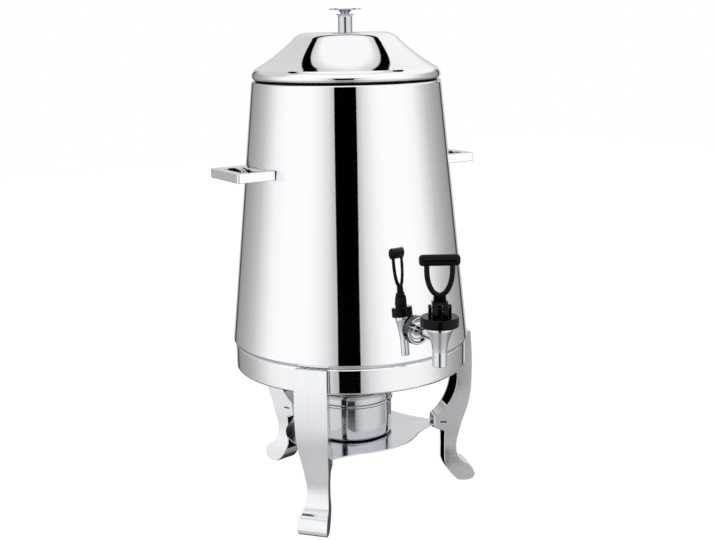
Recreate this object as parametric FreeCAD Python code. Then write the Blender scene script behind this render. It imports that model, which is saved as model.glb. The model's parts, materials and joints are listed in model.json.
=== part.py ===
import FreeCAD, Part
import math
import os

# Buffet coffee urn on a three-legged stand, with a self-closing tap and a fuel burner.
# Millimetres. Origin on the urn's axis at the floor, +Z up, the tap towards -Y.
# An azimuth is measured from the tap, positive towards +X.

V = FreeCAD.Vector

# Gaps
weld_gap = 0.05            # between pieces of one body that are welded, pressed or screwed together
seat_gap = 0.3             # between pieces that lift or slide apart
thread_gap = 0.1           # around a screw in its hole
running_gap = 0.06         # radial, around a pin or rod that turns or slides

# Stand band
stand_height = 181.2       # floor to the top of the band
band_radius = 128.1
band_height = 28.0
band_wall = 1.5
band_curl = 2.4            # outside radius of the rolled edges
band_lip = 5.0             # reach of the curl under the band
ledge_width = 10.0         # inward ledge that carries the urn

# Legs, pressed channels that open towards the burner and narrow that way
leg_azimuths = {"leg_front_left": -50.0, "leg_front_right": 70.0, "leg_back": 190.0}
leg_sheet = 2.0
leg_draft = 10.0           # degrees that each flank leans in
leg_top_width = 33.0       # widths on the circle through the middles of the feet
leg_shin_width = 29.0
leg_ankle_width = 26.0
leg_foot_width = 28.0
leg_shin_rise = 6.0        # the shin's width is reached this far above its face's turn
leg_top_proud = 7.5        # how far the leg's face stands outside the band, at its top
leg_knee_proud = 9.4       # and at its knee
leg_thigh_proud = 6.9
leg_seat = 7.6             # notch of the flanks under the band
knee_drop = 40.0           # top of the band down to the knee
thigh_drop = 80.0
shin_height = 64.0
ankle_height = 43.0
foot_reach = 128.0         # urn axis to the middle of the foot
foot_flat = 4.0            # half the length of the foot's flat sole
toe_reach = 14.0           # tip of the toe, outwards from the middle of the foot
toe_height = 19.3
shin_set_back = 3.3        # the face at the shin, inwards from the middle of the foot
ankle_set_back = 6.8
ankle_turn_height = 31.0   # where the face turns out to the toe
ankle_turn_set_back = 4.9
flank_depth = 20.8         # the flanks' open edge, inwards from the middle of the foot
heel_height = 24.5
lug_depth = 31.2           # the burner lug's end, inwards from the middle of the foot
lug_drop = 6.3             # lug's underside below the burner shelf
lug_rise = 9.2             # lug's top above it
lug_bevel = 3.5
arch_drop = 55.0           # top of the band down to where the arch under it starts

# Leg fastening
leg_bar_depth = 3.0        # tapped bar across the channel, behind the band
leg_bar_height = 16.0
leg_screw_radius = 2.0
leg_screw_head_radius = 3.9
leg_screw_head = 2.4
leg_screw_pitch = 14.0
leg_slot_length = 8.0      # slit in each flank beside the lug
leg_slot_height = 1.4

# Burner shelf
shelf_top = 70.8
shelf_sheet = 1.6
shelf_radius = 76.0
shelf_arm_width = 16.0
shelf_arm_flare = 84.0     # width of an arm where it leaves the disc
shelf_tab_height = 15.0
shelf_tab_width = 17.0
shelf_tab_corner = 5.0
shelf_tab_wall = 2.0
shelf_screw_radius = 2.0
shelf_screw_head_radius = 3.4
shelf_screw_head = 2.2
shelf_nut_across = 7.0
shelf_nut_height = 3.2

# Burner cup
cup_radius = 45.0
cup_height = 54.7
cup_wall = 1.0
cup_corner = 4.0
cup_bead_height = 40.2     # middle of the bead above the cup's floor
cup_bead_radius = 2.2
cup_lip = 2.2              # how far the mouth flares out
cup_lip_height = 7.0

# Urn body
urn_height = 283.9         # underside of the body to its rim
foot_overhang = 2.3        # the body's rolled lower edge stands outside the band
rim_radius = 101.8         # outside of the body at its rim
shell_wall = 1.2
foot_roll = 4.0
foot_flange = 7.5
rim_roll = 2.2
rim_flange = 6.5
base_wall = 1.5
base_spigot_depth = 7.0    # the base reaches down inside the stand's ledge
base_channel = 9.0
base_rise = 4.0            # floor of the urn above its rim
mouth_radius = 91.0
mouth_wall = 1.2
mouth_depth = 15.0

# Carrying handles
handle_rise = 193.0        # middle of the handles above the urn's underside
handle_reach = 149.3
handle_width = 64.0
handle_bar = 8.2
handle_thickness = 9.8
handle_corner = 2.6
handle_edge = 0.8
handle_screw_radius = 2.5
handle_screw_depth = 5.5
handle_screw_head_radius = 4.6
handle_screw_head = 2.8
handle_screw_turn = 9.0    # degrees each side of the handle's middle
seal_thickness = 1.0
handle_seal_radius = 6.5

# Lid
lid_rim_radius = 101.0
lid_edge_radius = 97.2
lid_edge_height = 6.3      # lid's edge up to its widest
lid_shoulder_height = 12.8
lid_flare_radius = 57.0    # where the hollow flare meets the crown
lid_flare_height = 42.3
lid_flare_sag = 1.6
lid_crown_radius = 44.0
lid_height = 49.6
lid_wall = 1.0
lid_skirt_gap = 0.6
lid_skirt_drop = 12.0
lid_skirt_wall = 1.2

# Knob
knob_stem_radius = 7.6
knob_lip_radius = 9.6
knob_stem_height = 19.0
knob_flare_height = 4.0
knob_dish = 0.8            # hollow in the top of the stem
knob_neck_radius = 4.0
knob_disc_radius = 17.5
knob_disc_edge = 1.2
knob_height = 24.7
knob_spigot_radius = 3.0
knob_spigot_length = 7.0
knob_screw_radius = 2.5
knob_screw_depth = 8.0
knob_screw_head_radius = 4.5
knob_screw_head = 3.0
knob_washer_radius = 9.0
knob_washer_thickness = 1.0

# Tap
tap_rise = 35.0            # middle of the shank above the urn's underside
tap_reach = 167.5          # urn axis to the tap's barrel
tap_turn = -31.0           # degrees that the collar and the handle stand turned about the barrel
flange_radius = 15.0
flange_thickness = 4.2
flange_dish_radius = 12.0
flange_dish_depth = 2.6
shank_radius = 8.0
shank_inside = 16.0
shank_bore = 4.0
shank_neck_root = 4.9
shank_neck_end = 6.4
gasket_radius = 13.0
lock_nut_across = 24.0
lock_nut_height = 6.0
barrel_rise = 12.3         # middle of the shank up to the barrel's top
barrel_radius = 13.8
cone_drop = 13.5           # middle of the shank down to the spout
spout_length = 15.4
spout_radius = 7.4
spout_bore = 5.0
chamber_radius = 8.4
chamber_depth = 11.8       # below the barrel's top
seat_depth = 6.0           # the seat's cone, below the chamber
collar_radius = 19.5
collar_height = 10.4
collar_edge = 1.6
collar_web = 3.2
ear_thickness = 3.0
ear_depth = 9.0
ear_height = 12.0
ear_gap = 0.5
pin_height = 7.3           # pin above the collar
pin_radius = 1.5
cam_lift = 4.0             # rise of the rod for each radian of the handle
handle_turn = 40.0         # degrees that the handle is pulled forward
cam_run_out = 2.0          # degrees of cam past the end of the pull
hub_width = 16.0
hub_back = 4.5
hub_top = 17.0             # top of the hub above the collar
grip_height = 57.0         # grip bar above the collar
grip_radius = 5.8
grip_length = 41.0
loop_top_width = 31.0
loop_depth = 7.6
window_top_width = 20.4
window_waist_width = 12.6
window_floor = 23.6        # bottom of the window above the collar
rod_radius = 2.2
rod_head_depth = 7.6
cup_seal_radius = 6.9
cup_seal_height = 8.0
spring_wire = 0.4
spring_radius = 4.4
spring_turns = 6

# Levels that follow from the sizes above
band_bottom = stand_height - band_height
foot_edge_radius = band_radius + foot_overhang
urn_bottom = stand_height + seat_gap
urn_top = urn_bottom + urn_height
lid_base = urn_top + seat_gap
lid_top = lid_base + lid_height
lug_radius = foot_reach - lug_depth
lug_bottom = shelf_top - lug_drop
lug_top = shelf_top + lug_rise
leg_bar_level = band_bottom + band_height / 2
leg_shelf_level = (lug_bottom + lug_top) / 2
cup_base = shelf_top + seat_gap
handle_height = urn_bottom + handle_rise
tap_height = urn_bottom + tap_rise
barrel_top = tap_height + barrel_rise
spout_top = tap_height - cone_drop
spout_bottom = spout_top - spout_length
chamber_floor = barrel_top - chamber_depth
seat_height = chamber_floor - seat_depth
collar_top = barrel_top + collar_height
pin_level = collar_top + pin_height
fork_slot = 2 * (rod_radius + seat_gap)
shelf_screw_level = shelf_top + shelf_screw_head_radius + thread_gap


def outline(start, steps):
    """Open wire in the XZ plane: a step is a point, or a pair for an arc through a point."""
    edges = []
    here = V(start[0], 0, start[1])
    for step in steps:
        if isinstance(step[0], tuple):
            middle = V(step[0][0], 0, step[0][1])
            end = V(step[1][0], 0, step[1][1])
            edges.append(Part.Arc(here, middle, end).toShape())
        else:
            end = V(step[0], 0, step[1])
            edges.append(Part.LineSegment(here, end).toShape())
        here = end
    return Part.Wire(edges)


def corner(centre, radius, degrees):
    """Point on a rounding, by the direction from its centre."""
    angle = math.radians(degrees)
    return (centre[0] + radius * math.cos(angle), centre[1] + radius * math.sin(angle))


def rounding(centre, radius, first, last):
    """Arc step round a centre, from one direction to another."""
    return (corner(centre, radius, (first + last) / 2), corner(centre, radius, last))


def revolved(face):
    """Solid turned about the urn's axis, with its skin facing outwards."""
    solid = face.revolve(V(0, 0, 0), V(0, 0, 1), 360)
    if solid.Volume < 0:
        solid.reverse()
    return solid


def spun(wire):
    """Solid turned about the urn's axis from a closed wire."""
    return revolved(Part.Face(wire))


def spun_sheet(wire, thickness):
    """Sheet of one thickness turned about the urn's axis, its skin on the wire."""
    return revolved(wire.makeOffset2D(thickness, 0, True, True))


def closed(start, steps):
    return outline(start, list(steps) + [start])


def tube(outer, inner, bottom, top):
    body = Part.makeCylinder(outer, top - bottom, V(0, 0, bottom))
    return body.cut(Part.makeCylinder(inner, top - bottom, V(0, 0, bottom)))


def at_azimuth(shape, azimuth):
    turned = shape.copy()
    turned.rotate(V(0, 0, 0), V(0, 0, 1), azimuth)
    return turned


def prism(across_flats, height):
    """Hexagon along +Z from the origin."""
    radius = across_flats / math.sqrt(3)
    points = [V(*corner((0, 0), radius, 60 * i), 0) for i in range(7)]
    return Part.Face(Part.makePolygon(points)).extrude(V(0, 0, height))


def outwards(shape, radius, height, tilt=0.0):
    """Place a shape made along +Z so that it points away from the urn on the tap's side."""
    placed = shape.copy()
    placed.rotate(V(0, 0, 0), V(1, 0, 0), 90 - tilt)
    placed.translate(V(0, -radius, height))
    return placed


# The urn's wall is a cone between the rolled foot and the rim.
wall_bottom = urn_bottom + foot_roll
wall_slope = (foot_edge_radius - rim_radius) / (urn_top - rim_roll - wall_bottom)
wall_tilt = math.degrees(math.atan(wall_slope))


def wall_radius(height):
    return foot_edge_radius - wall_slope * (height - wall_bottom)


tap_wall = wall_radius(tap_height)
tap_face = tap_wall + seal_thickness + flange_thickness


def wall_cone(offset):
    """Everything inside the urn's outer wall, moved out by an offset."""
    low = wall_bottom
    high = urn_top - rim_roll
    return Part.makeCone(wall_radius(low) + offset, wall_radius(high) + offset, high - low, V(0, 0, low))


def save(name, shape):
    solids = shape.Solids
    shape = solids[0] if len(solids) == 1 else Part.makeCompound(solids)
    shape.exportStep("parts/" + name + ".step")
    print(name, len(solids), "solid(s)", round(shape.Volume), "mm3")


def stand_ring():
    """Rolled band with an inward ledge on top and a curled lower edge."""
    top = (band_radius - band_curl, stand_height - band_curl)
    low = (band_radius - band_curl, band_bottom + band_curl)
    skin = outline((band_radius - band_lip, band_bottom), [
        (low[0], band_bottom),
        rounding(low, band_curl, -90, 0),
        (band_radius, top[1]),
        rounding(top, band_curl, 0, 90),
        (band_radius - ledge_width, stand_height)])
    ring = spun_sheet(skin, band_wall)
    hole = Part.makeCylinder(leg_screw_radius + thread_gap, 3 * band_wall)
    for azimuth in leg_azimuths.values():
        for side in (-1, 1):
            spot = hole.copy()
            spot.translate(V(side * leg_screw_pitch / 2, 0, 0))
            ring = ring.cut(at_azimuth(outwards(spot, band_radius - 2 * band_wall, leg_bar_level), azimuth))
    return ring


def side(radius, height):
    """Point on the middle plane of a leg."""
    return V(0, -radius, height)


def arc_from(start, leave, end):
    """Arc that leaves one point in a given direction and ends at another."""
    chord = end - start
    bend = leave.getAngle(chord)
    if bend < 1e-6:
        return Part.LineSegment(start, end).toShape()
    half = chord.Length / 2
    middle = (start + end) / 2
    apex = start + leave * (half / math.cos(bend))
    bow = (apex - middle).normalize() * (half * math.tan(bend / 2))
    return Part.Arc(start, middle + bow, end).toShape()


def biarc(start, leave, end, arrive):
    """Two arcs that meet smoothly, with the directions given at both ends."""
    chord = end - start
    both = leave + arrive
    spread = 4 - both.dot(both)
    reach = chord.dot(both)
    if spread < 1e-9:
        arm = chord.dot(chord) / (2 * reach)
    else:
        arm = (math.sqrt(reach * reach + spread * chord.dot(chord)) - reach) / spread
    first_apex = start + leave * arm
    last_apex = end - arrive * arm
    joint = (first_apex + last_apex) / 2
    along = (last_apex - first_apex).normalize()
    return [arc_from(start, leave, joint), arc_from(joint, along, end)]


def smooth(points, first=None, last=None):
    """Run of arcs that passes smoothly through the points."""
    chords = [(b - a).normalize() for a, b in zip(points, points[1:])]
    ways = [(a + b).normalize() for a, b in zip(chords, chords[1:])]
    if first is None:
        first = chords[0] * (2 * ways[0].dot(chords[0])) - ways[0]
    if last is None:
        last = chords[-1] * (2 * ways[-1].dot(chords[-1])) - ways[-1]
    ways = [first] + ways + [last]
    edges = []
    for i in range(len(chords)):
        edges += biarc(points[i], ways[i], points[i + 1], ways[i + 1])
    return edges


def leg_side_face():
    """Side view of a leg: face, toe, sole, heel, lug and arch."""
    top = side(band_radius + leg_top_proud, stand_height)
    toe_end = side(foot_reach + foot_flat, 0)
    sole = side(foot_reach - foot_flat, 0)
    face = smooth([
        top,
        side(band_radius + leg_knee_proud, stand_height - knee_drop),
        side(band_radius + leg_thigh_proud, stand_height - thigh_drop),
        side(foot_reach - shin_set_back, shin_height),
        side(foot_reach - ankle_set_back, ankle_height),
        side(foot_reach - ankle_turn_set_back, ankle_turn_height),
        side(foot_reach + 0.09 * toe_reach, 1.21 * toe_height),
        side(foot_reach + 0.58 * toe_reach, toe_height),
        side(foot_reach + 0.93 * toe_reach, 0.62 * toe_height),
        side(foot_reach + toe_reach, 0.36 * toe_height),
        side(foot_reach + 0.80 * toe_reach, 0.11 * toe_height),
        toe_end], None, V(0, 1, 0))
    back = foot_reach - flank_depth
    heel_end = side(back, heel_height)
    heel_middle = side(foot_reach - 0.66 * flank_depth, 0.39 * heel_height)
    heel = Part.Arc(sole, heel_middle, heel_end).toShape()
    lug_foot = side(back, lug_bottom - lug_bevel)
    lug_low = side(lug_radius, lug_bottom)
    lug_high = side(lug_radius, lug_top)
    notch = band_radius - leg_seat
    arch_end = side(notch, stand_height - arch_drop)
    arch_middle = side(lug_radius + 0.70 * (notch - lug_radius),
                       lug_top + 0.41 * (stand_height - arch_drop - lug_top))
    arch = Part.Arc(lug_high, arch_middle, arch_end).toShape()
    corners = [arch_end, side(notch, band_bottom - weld_gap),
               side(band_radius + weld_gap, band_bottom - weld_gap),
               side(band_radius + weld_gap, stand_height), top]
    edges = face + [Part.LineSegment(toe_end, sole).toShape(), heel,
                    Part.LineSegment(heel_end, lug_foot).toShape(),
                    Part.LineSegment(lug_foot, lug_low).toShape(),
                    Part.LineSegment(lug_low, lug_high).toShape(),
                    arch]
    edges += [Part.LineSegment(a, b).toShape() for a, b in zip(corners, corners[1:])]
    return Part.Face(Part.Wire(edges))


def leg_front_wire(narrowing, radius):
    """Front view of a leg, broad at the band and the foot, narrow at the ankle, at one radius."""
    lean = (radius - foot_reach) * math.tan(math.radians(leg_draft)) - narrowing
    half = [width / 2 + lean for width in (leg_top_width, leg_shin_width, leg_ankle_width, leg_foot_width)]
    levels = [stand_height - 1.5 * knee_drop, shin_height + leg_shin_rise, ankle_height, 0.7 * toe_height]
    top = stand_height + leg_sheet
    floor = -leg_sheet
    right = [V(x, -radius, z) for x, z in zip(half, levels)]
    left = [V(-x, -radius, z) for x, z in zip(half[::-1], levels[::-1])]
    sole = [right[-1], V(half[-1], -radius, floor), V(-half[-1], -radius, floor), left[0]]
    rim = [left[-1], V(-half[0], -radius, top), V(half[0], -radius, top), right[0]]
    edges = smooth(right, V(0, 0, -1), V(0, 0, -1))
    edges += [Part.LineSegment(a, b).toShape() for a, b in zip(sole, sole[1:])]
    edges += smooth(left, V(0, 0, 1), V(0, 0, 1))
    edges += [Part.LineSegment(a, b).toShape() for a, b in zip(rim, rim[1:])]
    return Part.Wire(edges)


def leg_wedge(narrowing):
    """Space between the two flanks, which lean in towards the burner."""
    outside = band_radius + toe_reach + leg_knee_proud
    inside = lug_radius - leg_sheet
    return Part.makeLoft([leg_front_wire(narrowing, radius) for radius in (outside, inside)], True, True)


def leg():
    """One leg on the tap's side: a pressed channel, closed over the toe, at the top and at the lug."""
    outline_face = leg_side_face()
    silhouette = leg_wedge(0)
    flanks = leg_wedge(leg_sheet)
    wide = leg_foot_width + leg_top_width
    slab = outline_face.extrude(V(wide, 0, 0))
    slab.translate(V(-wide / 2, 0, 0))
    hollow = outline_face.makeOffset2D(-leg_sheet).extrude(V(wide, 0, 0))
    hollow.translate(V(-wide / 2, 0, 0))
    back = foot_reach - flank_depth
    shank_opening = box_between(-wide / 2, wide / 2, -(back + 2 * leg_sheet), -(lug_radius - leg_sheet),
                                heel_height - 3 * leg_sheet, lug_bottom - lug_bevel - leg_sheet)
    arch_opening = box_between(-wide / 2, wide / 2, -(band_radius - leg_sheet), 0,
                               lug_top + 6 * leg_sheet, band_bottom + leg_sheet)
    bar_low = leg_bar_level - leg_bar_height / 2
    bar_high = leg_bar_level + leg_bar_height / 2
    bar_front = -(band_radius + weld_gap + leg_bar_depth)
    below_bar = box_between(-wide / 2, wide / 2, bar_front, 0, band_bottom - 3 * leg_sheet, bar_low)
    above_bar = box_between(-wide / 2, wide / 2, bar_front, 0, bar_high, stand_height - leg_sheet)
    hollow = hollow.cut(box_between(-wide / 2, wide / 2, bar_front, 0, bar_low, bar_high))
    for opening in (shank_opening, arch_opening, below_bar, above_bar):
        hollow = hollow.fuse(opening)
    body = slab.common(silhouette).cut(hollow.common(flanks))
    hole = Part.makeCylinder(leg_screw_radius + thread_gap, 2 * leg_bar_depth)
    for side_sign in (-1, 1):
        spot = hole.copy()
        spot.translate(V(side_sign * leg_screw_pitch / 2, 0, 0))
        body = body.cut(outwards(spot, band_radius - leg_bar_depth, leg_bar_level))
    body = body.cut(outwards(Part.makeCylinder(shelf_screw_radius + thread_gap, 3 * leg_sheet),
                             lug_radius - leg_sheet, shelf_screw_level))
    slot_near = lug_radius + 2.5 * leg_sheet
    slot = box_between(-wide, wide, -(slot_near + leg_slot_length), -slot_near,
                       leg_shelf_level - leg_slot_height / 2, leg_shelf_level + leg_slot_height / 2)
    body = body.cut(slot)
    return body.cut(Part.makeCylinder(band_radius + weld_gap, band_height + 2 * weld_gap + leg_sheet,
                                      V(0, 0, band_bottom - weld_gap)))


def box_between(x0, x1, y0, y1, z0, z1):
    return Part.makeBox(x1 - x0, y1 - y0, z1 - z0, V(x0, y0, z0))


def pan_screw(radius, length, head_radius, head):
    """Round-headed screw along +Z, its head below the origin."""
    shank = Part.makeCylinder(radius, length)
    cap = Part.makeCylinder(head_radius, head, V(0, 0, -head))
    rim = [edge for edge in cap.Edges if abs(edge.CenterOfMass.z + head) < 0.01]
    return cap.makeFillet(0.45 * head, rim).fuse(shank)


def leg_screws():
    """Two screws a leg, from inside the band into the tapped bar."""
    screws = []
    seat = band_radius - band_wall - weld_gap
    for azimuth in leg_azimuths.values():
        for side_sign in (-1, 1):
            # A screw beside the middle of the leg meets the curved band a little further in.
            sag = seat - math.sqrt(seat ** 2 - (leg_screw_pitch / 2 + leg_screw_head_radius) ** 2)
            screw = pan_screw(leg_screw_radius, sag + band_wall + leg_bar_depth,
                              leg_screw_head_radius, leg_screw_head)
            screw.translate(V(side_sign * leg_screw_pitch / 2, 0, 0))
            screws.append(at_azimuth(outwards(screw, seat - sag, leg_bar_level), azimuth))
    return Part.makeCompound(screws)


def shelf_arm():
    """Arm towards the tap's side that narrows in two hollow curves to its upright tab."""
    tip = lug_radius - weld_gap - shelf_tab_wall
    root = 0.8 * shelf_radius
    waist = (shelf_radius + tip) / 2
    half_tip = shelf_arm_width / 2
    half_root = shelf_arm_flare / 2
    hollow_width = half_tip + 0.24 * (half_root - half_tip)
    level = shelf_top - shelf_sheet
    right = Part.Arc(V(half_root, -root, level), V(hollow_width, -waist, level), V(half_tip, -tip, level))
    left = Part.Arc(V(-half_tip, -tip, level), V(-hollow_width, -waist, level), V(-half_root, -root, level))
    ends = [Part.LineSegment(V(half_tip, -tip, level), V(-half_tip, -tip, level)),
            Part.LineSegment(V(-half_root, -root, level), V(half_root, -root, level))]
    edges = [right.toShape(), ends[0].toShape(), left.toShape(), ends[1].toShape()]
    arm = Part.Face(Part.Wire(edges)).extrude(V(0, 0, shelf_sheet))
    half = shelf_tab_width / 2
    low = leg_shelf_level - shelf_tab_height / 2
    tab = box_between(-half, half, -(tip + shelf_tab_wall), -tip, low, low + shelf_tab_height)
    low_corners = [edge for edge in tab.Edges
                   if abs(abs(edge.CenterOfMass.x) - half) < 0.01 and abs(edge.CenterOfMass.z - low) < 0.01]
    tab = tab.makeFillet(shelf_tab_corner, low_corners)
    hole = outwards(Part.makeCylinder(shelf_screw_radius + thread_gap, 3 * shelf_tab_wall),
                    tip - shelf_tab_wall, shelf_screw_level)
    return arm.fuse(tab).cut(hole)


def shelf_plate():
    disc = Part.makeCylinder(shelf_radius, shelf_sheet, V(0, 0, shelf_top - shelf_sheet))
    arms = [at_azimuth(shelf_arm(), azimuth) for azimuth in leg_azimuths.values()]
    return disc.fuse(arms).removeSplitter()


def shelf_screws():
    seat = lug_radius - shelf_tab_wall - 2 * weld_gap
    length = shelf_tab_wall + 2 * weld_gap + leg_sheet + shelf_nut_height + shelf_screw_radius
    screw = pan_screw(shelf_screw_radius, length, shelf_screw_head_radius, shelf_screw_head)
    placed = outwards(screw, seat, shelf_screw_level)
    return Part.makeCompound([at_azimuth(placed, azimuth) for azimuth in leg_azimuths.values()])


def shelf_nuts():
    nut = prism(shelf_nut_across, shelf_nut_height)
    nut = nut.cut(Part.makeCylinder(shelf_screw_radius + thread_gap, shelf_nut_height))
    placed = outwards(nut, lug_radius + leg_sheet + weld_gap, shelf_screw_level)
    return Part.makeCompound([at_azimuth(placed, azimuth) for azimuth in leg_azimuths.values()])


def burner_cup():
    """Drawn cup with a rolled bead and a flared mouth."""
    bead = cup_base + cup_bead_height
    foot = (cup_radius - cup_corner, cup_base + cup_corner)
    mouth = cup_base + cup_height
    skin = outline((0, cup_base), [
        (foot[0], cup_base),
        rounding(foot, cup_corner, -90, 0),
        (cup_radius, bead - cup_bead_radius),
        ((cup_radius + 0.7 * cup_bead_radius, bead), (cup_radius, bead + cup_bead_radius)),
        (cup_radius, mouth - cup_lip_height),
        ((cup_radius + 0.3 * cup_lip, mouth - 0.45 * cup_lip_height), (cup_radius + cup_lip, mouth))])
    return spun_sheet(skin, cup_wall)


def urn_shell():
    """Tapered wall with a rolled foot and a flat rim."""
    foot = (foot_edge_radius - foot_roll, urn_bottom + foot_roll)
    rim = (rim_radius - rim_roll, urn_top - rim_roll)
    skin = outline((foot_edge_radius - foot_flange, urn_bottom), [
        (foot[0], urn_bottom),
        rounding(foot, foot_roll, -90, 0),
        (rim_radius, rim[1]),
        rounding(rim, rim_roll, 0, 90),
        (rim_radius - rim_flange, urn_top)])
    shell = spun_sheet(skin, shell_wall)
    shell = shell.cut(outwards(Part.makeCylinder(shank_radius + thread_gap, 6 * shell_wall),
                               wall_radius(tap_height) - 4 * shell_wall, tap_height))
    hole = Part.makeCylinder(handle_screw_radius + thread_gap, 6 * shell_wall, V(0, 0, -4 * shell_wall))
    for azimuth in handle_screw_azimuths():
        shell = shell.cut(at_azimuth(outwards(hole, wall_radius(handle_height), handle_height, -wall_tilt), azimuth))
    return shell


def urn_base():
    """Pressed base: a flat rim on the shell's foot, a spigot inside the ledge and a raised floor."""
    rim = urn_bottom + shell_wall + weld_gap
    spigot = band_radius - ledge_width - seat_gap
    deep = urn_bottom - base_spigot_depth
    bend = 2.0
    outer = (spigot - bend, deep + bend)
    inner = spigot - base_channel
    floor = rim + base_rise
    skin = outline((0, floor), [
        (inner - bend, floor),
        ((inner - 0.5 * bend, floor - 0.15 * base_rise), (inner, floor - 0.5 * base_rise)),
        (inner + bend, deep + bend),
        ((inner + 1.4 * bend, deep + 0.4 * bend), (inner + 2 * bend, deep)),
        (outer[0], deep),
        rounding(outer, bend, -90, 0),
        (spigot, rim - bend),
        ((spigot + 0.3 * bend, rim - 0.3 * bend), (spigot + bend, rim)),
        (foot_edge_radius - foot_roll, rim)])
    return spun_sheet(skin, base_wall)


def mouth_ring():
    """Neck welded under the rim, which takes the lid's skirt."""
    top = urn_top - shell_wall - weld_gap
    bend = 2.5
    centre = (mouth_radius + mouth_wall + bend, top - bend)
    flange = rim_radius - rim_roll - shell_wall
    skin = outline((mouth_radius + mouth_wall, urn_top - mouth_depth), [
        (mouth_radius + mouth_wall, centre[1]),
        rounding(centre, bend, 180, 90),
        (flange, top)])
    return spun_sheet(skin, -mouth_wall)


def handle_screw_azimuths():
    return [base + turn for base in (-90, 90) for turn in (-handle_screw_turn, handle_screw_turn)]


def carrying_handle():
    """Closed square loop on the +X side, its inner bar shaped to the wall."""
    half = handle_width / 2
    low = handle_height - handle_thickness / 2
    block = box_between(0, handle_reach, -half, half, low, low + handle_thickness)
    corners = [edge for edge in block.Edges
               if edge.CenterOfMass.x > handle_reach - 1 and abs(abs(edge.CenterOfMass.y) - half) < 0.01
               and abs(edge.CenterOfMass.z - handle_height) < 0.01]
    block = block.makeFillet(handle_corner, corners)
    inside = half - handle_bar
    window = box_between(0, handle_reach - handle_bar, -inside, inside, low - 1, low + handle_thickness + 1)
    uprights = [edge for edge in window.Edges
                if edge.CenterOfMass.x > 1 and abs(edge.CenterOfMass.z - handle_height) < 0.01]
    window = window.makeFillet(handle_corner / 2, uprights).cut(wall_cone(handle_bar))
    loop = block.cut(window).cut(wall_cone(weld_gap))
    flat = [edge for edge in loop.Edges
            if edge.CenterOfMass.x > handle_reach - 2 * handle_bar
            and abs(abs(edge.CenterOfMass.z - handle_height) - handle_thickness / 2) < 0.01
            and edge.BoundBox.XMin > wall_radius(handle_height) + handle_edge]
    if flat:
        loop = loop.makeFillet(handle_edge, flat)
    bore = Part.makeCylinder(handle_screw_radius + thread_gap, handle_screw_depth + 1, V(0, 0, -1))
    for turn in (-handle_screw_turn, handle_screw_turn):
        loop = loop.cut(at_azimuth(outwards(bore, wall_radius(handle_height), handle_height, -wall_tilt), 90 + turn))
    return loop


def handle_screws():
    inset = shell_wall + 2 * weld_gap + seal_thickness
    screw = pan_screw(handle_screw_radius, inset + 0.9 * handle_screw_depth,
                      handle_screw_head_radius, handle_screw_head)
    screw.translate(V(0, 0, -inset))
    placed = outwards(screw, wall_radius(handle_height), handle_height, -wall_tilt)
    return Part.makeCompound([at_azimuth(placed, azimuth) for azimuth in handle_screw_azimuths()])


def handle_seals():
    """Soft washers under the screw heads, inside the urn."""
    top = -(shell_wall + weld_gap)
    seal = Part.makeCylinder(handle_seal_radius, seal_thickness, V(0, 0, top - seal_thickness))
    seal = seal.cut(Part.makeCylinder(handle_screw_radius + thread_gap, seal_thickness,
                                      V(0, 0, top - seal_thickness)))
    placed = outwards(seal, wall_radius(handle_height), handle_height, -wall_tilt)
    inside = wall_cone(-shell_wall / math.cos(math.radians(wall_tilt)) - weld_gap)
    return Part.makeCompound([at_azimuth(placed, azimuth).common(inside).Solids[0]
                              for azimuth in handle_screw_azimuths()])


def lid_skin():
    """Spun lid: tucked edge, rounded rim, hollow flare, crown and flat top."""
    edge_level = lid_base
    widest = lid_base + lid_edge_height
    shoulder = (lid_edge_radius, lid_base + lid_shoulder_height)
    flare = (lid_flare_radius, lid_base + lid_flare_height)
    flare_middle = ((shoulder[0] + flare[0]) / 2 - 0.6 * lid_flare_sag,
                    (shoulder[1] + flare[1]) / 2 - 0.8 * lid_flare_sag)
    tuck = (lid_edge_radius + 0.82 * (lid_rim_radius - lid_edge_radius), edge_level + 0.4 * lid_edge_height)
    roll = (lid_rim_radius - 0.25 * (lid_rim_radius - lid_edge_radius),
            widest + 0.5 * (shoulder[1] - widest))
    crown = (lid_crown_radius + 0.58 * (lid_flare_radius - lid_crown_radius),
             flare[1] + 0.63 * (lid_top - flare[1]))
    return outline((lid_edge_radius - 1.5, edge_level), [
        (lid_edge_radius - 0.3, edge_level),
        (tuck, (lid_rim_radius, widest)),
        (roll, shoulder),
        (flare_middle, flare),
        (crown, (lid_crown_radius, lid_top)),
        (knob_screw_radius + thread_gap, lid_top)])


def lid_shell():
    return spun_sheet(lid_skin(), lid_wall)


def lid_skirt():
    """Ring inside the lid that drops into the urn's mouth."""
    outer = mouth_radius - lid_skirt_gap
    inner = outer - lid_skirt_wall
    low = lid_base - lid_skirt_drop
    strip = Part.Face(closed((inner, low), [(outer, low), (outer, lid_top), (inner, lid_top)]))
    crust = lid_skin().makeOffset2D(lid_wall + weld_gap, 0, True, True)
    return revolved(min(strip.cut(crust).Faces, key=lambda piece: piece.CenterOfMass.z))


def knob_stem():
    """Short column whose top flares to a lip."""
    base = lid_top + weld_gap
    lip = base + knob_stem_height
    flare = (knob_stem_radius + 0.3 * (knob_lip_radius - knob_stem_radius), lip - 0.45 * knob_flare_height)
    body = spun(closed((0, base), [
        (knob_stem_radius, base),
        (knob_stem_radius, lip - knob_flare_height),
        (flare, (knob_lip_radius, lip - 0.8)),
        (knob_lip_radius - 0.4, lip),
        (knob_neck_radius + 1.5, lip - knob_dish),
        (0, lip - knob_dish)]))
    bore = Part.makeCylinder(knob_screw_radius + thread_gap, knob_screw_depth, V(0, 0, base))
    socket = Part.makeCylinder(knob_spigot_radius + weld_gap, knob_spigot_length + knob_dish,
                               V(0, 0, lip - knob_dish - knob_spigot_length))
    return body.cut(bore).cut(socket)


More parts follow.
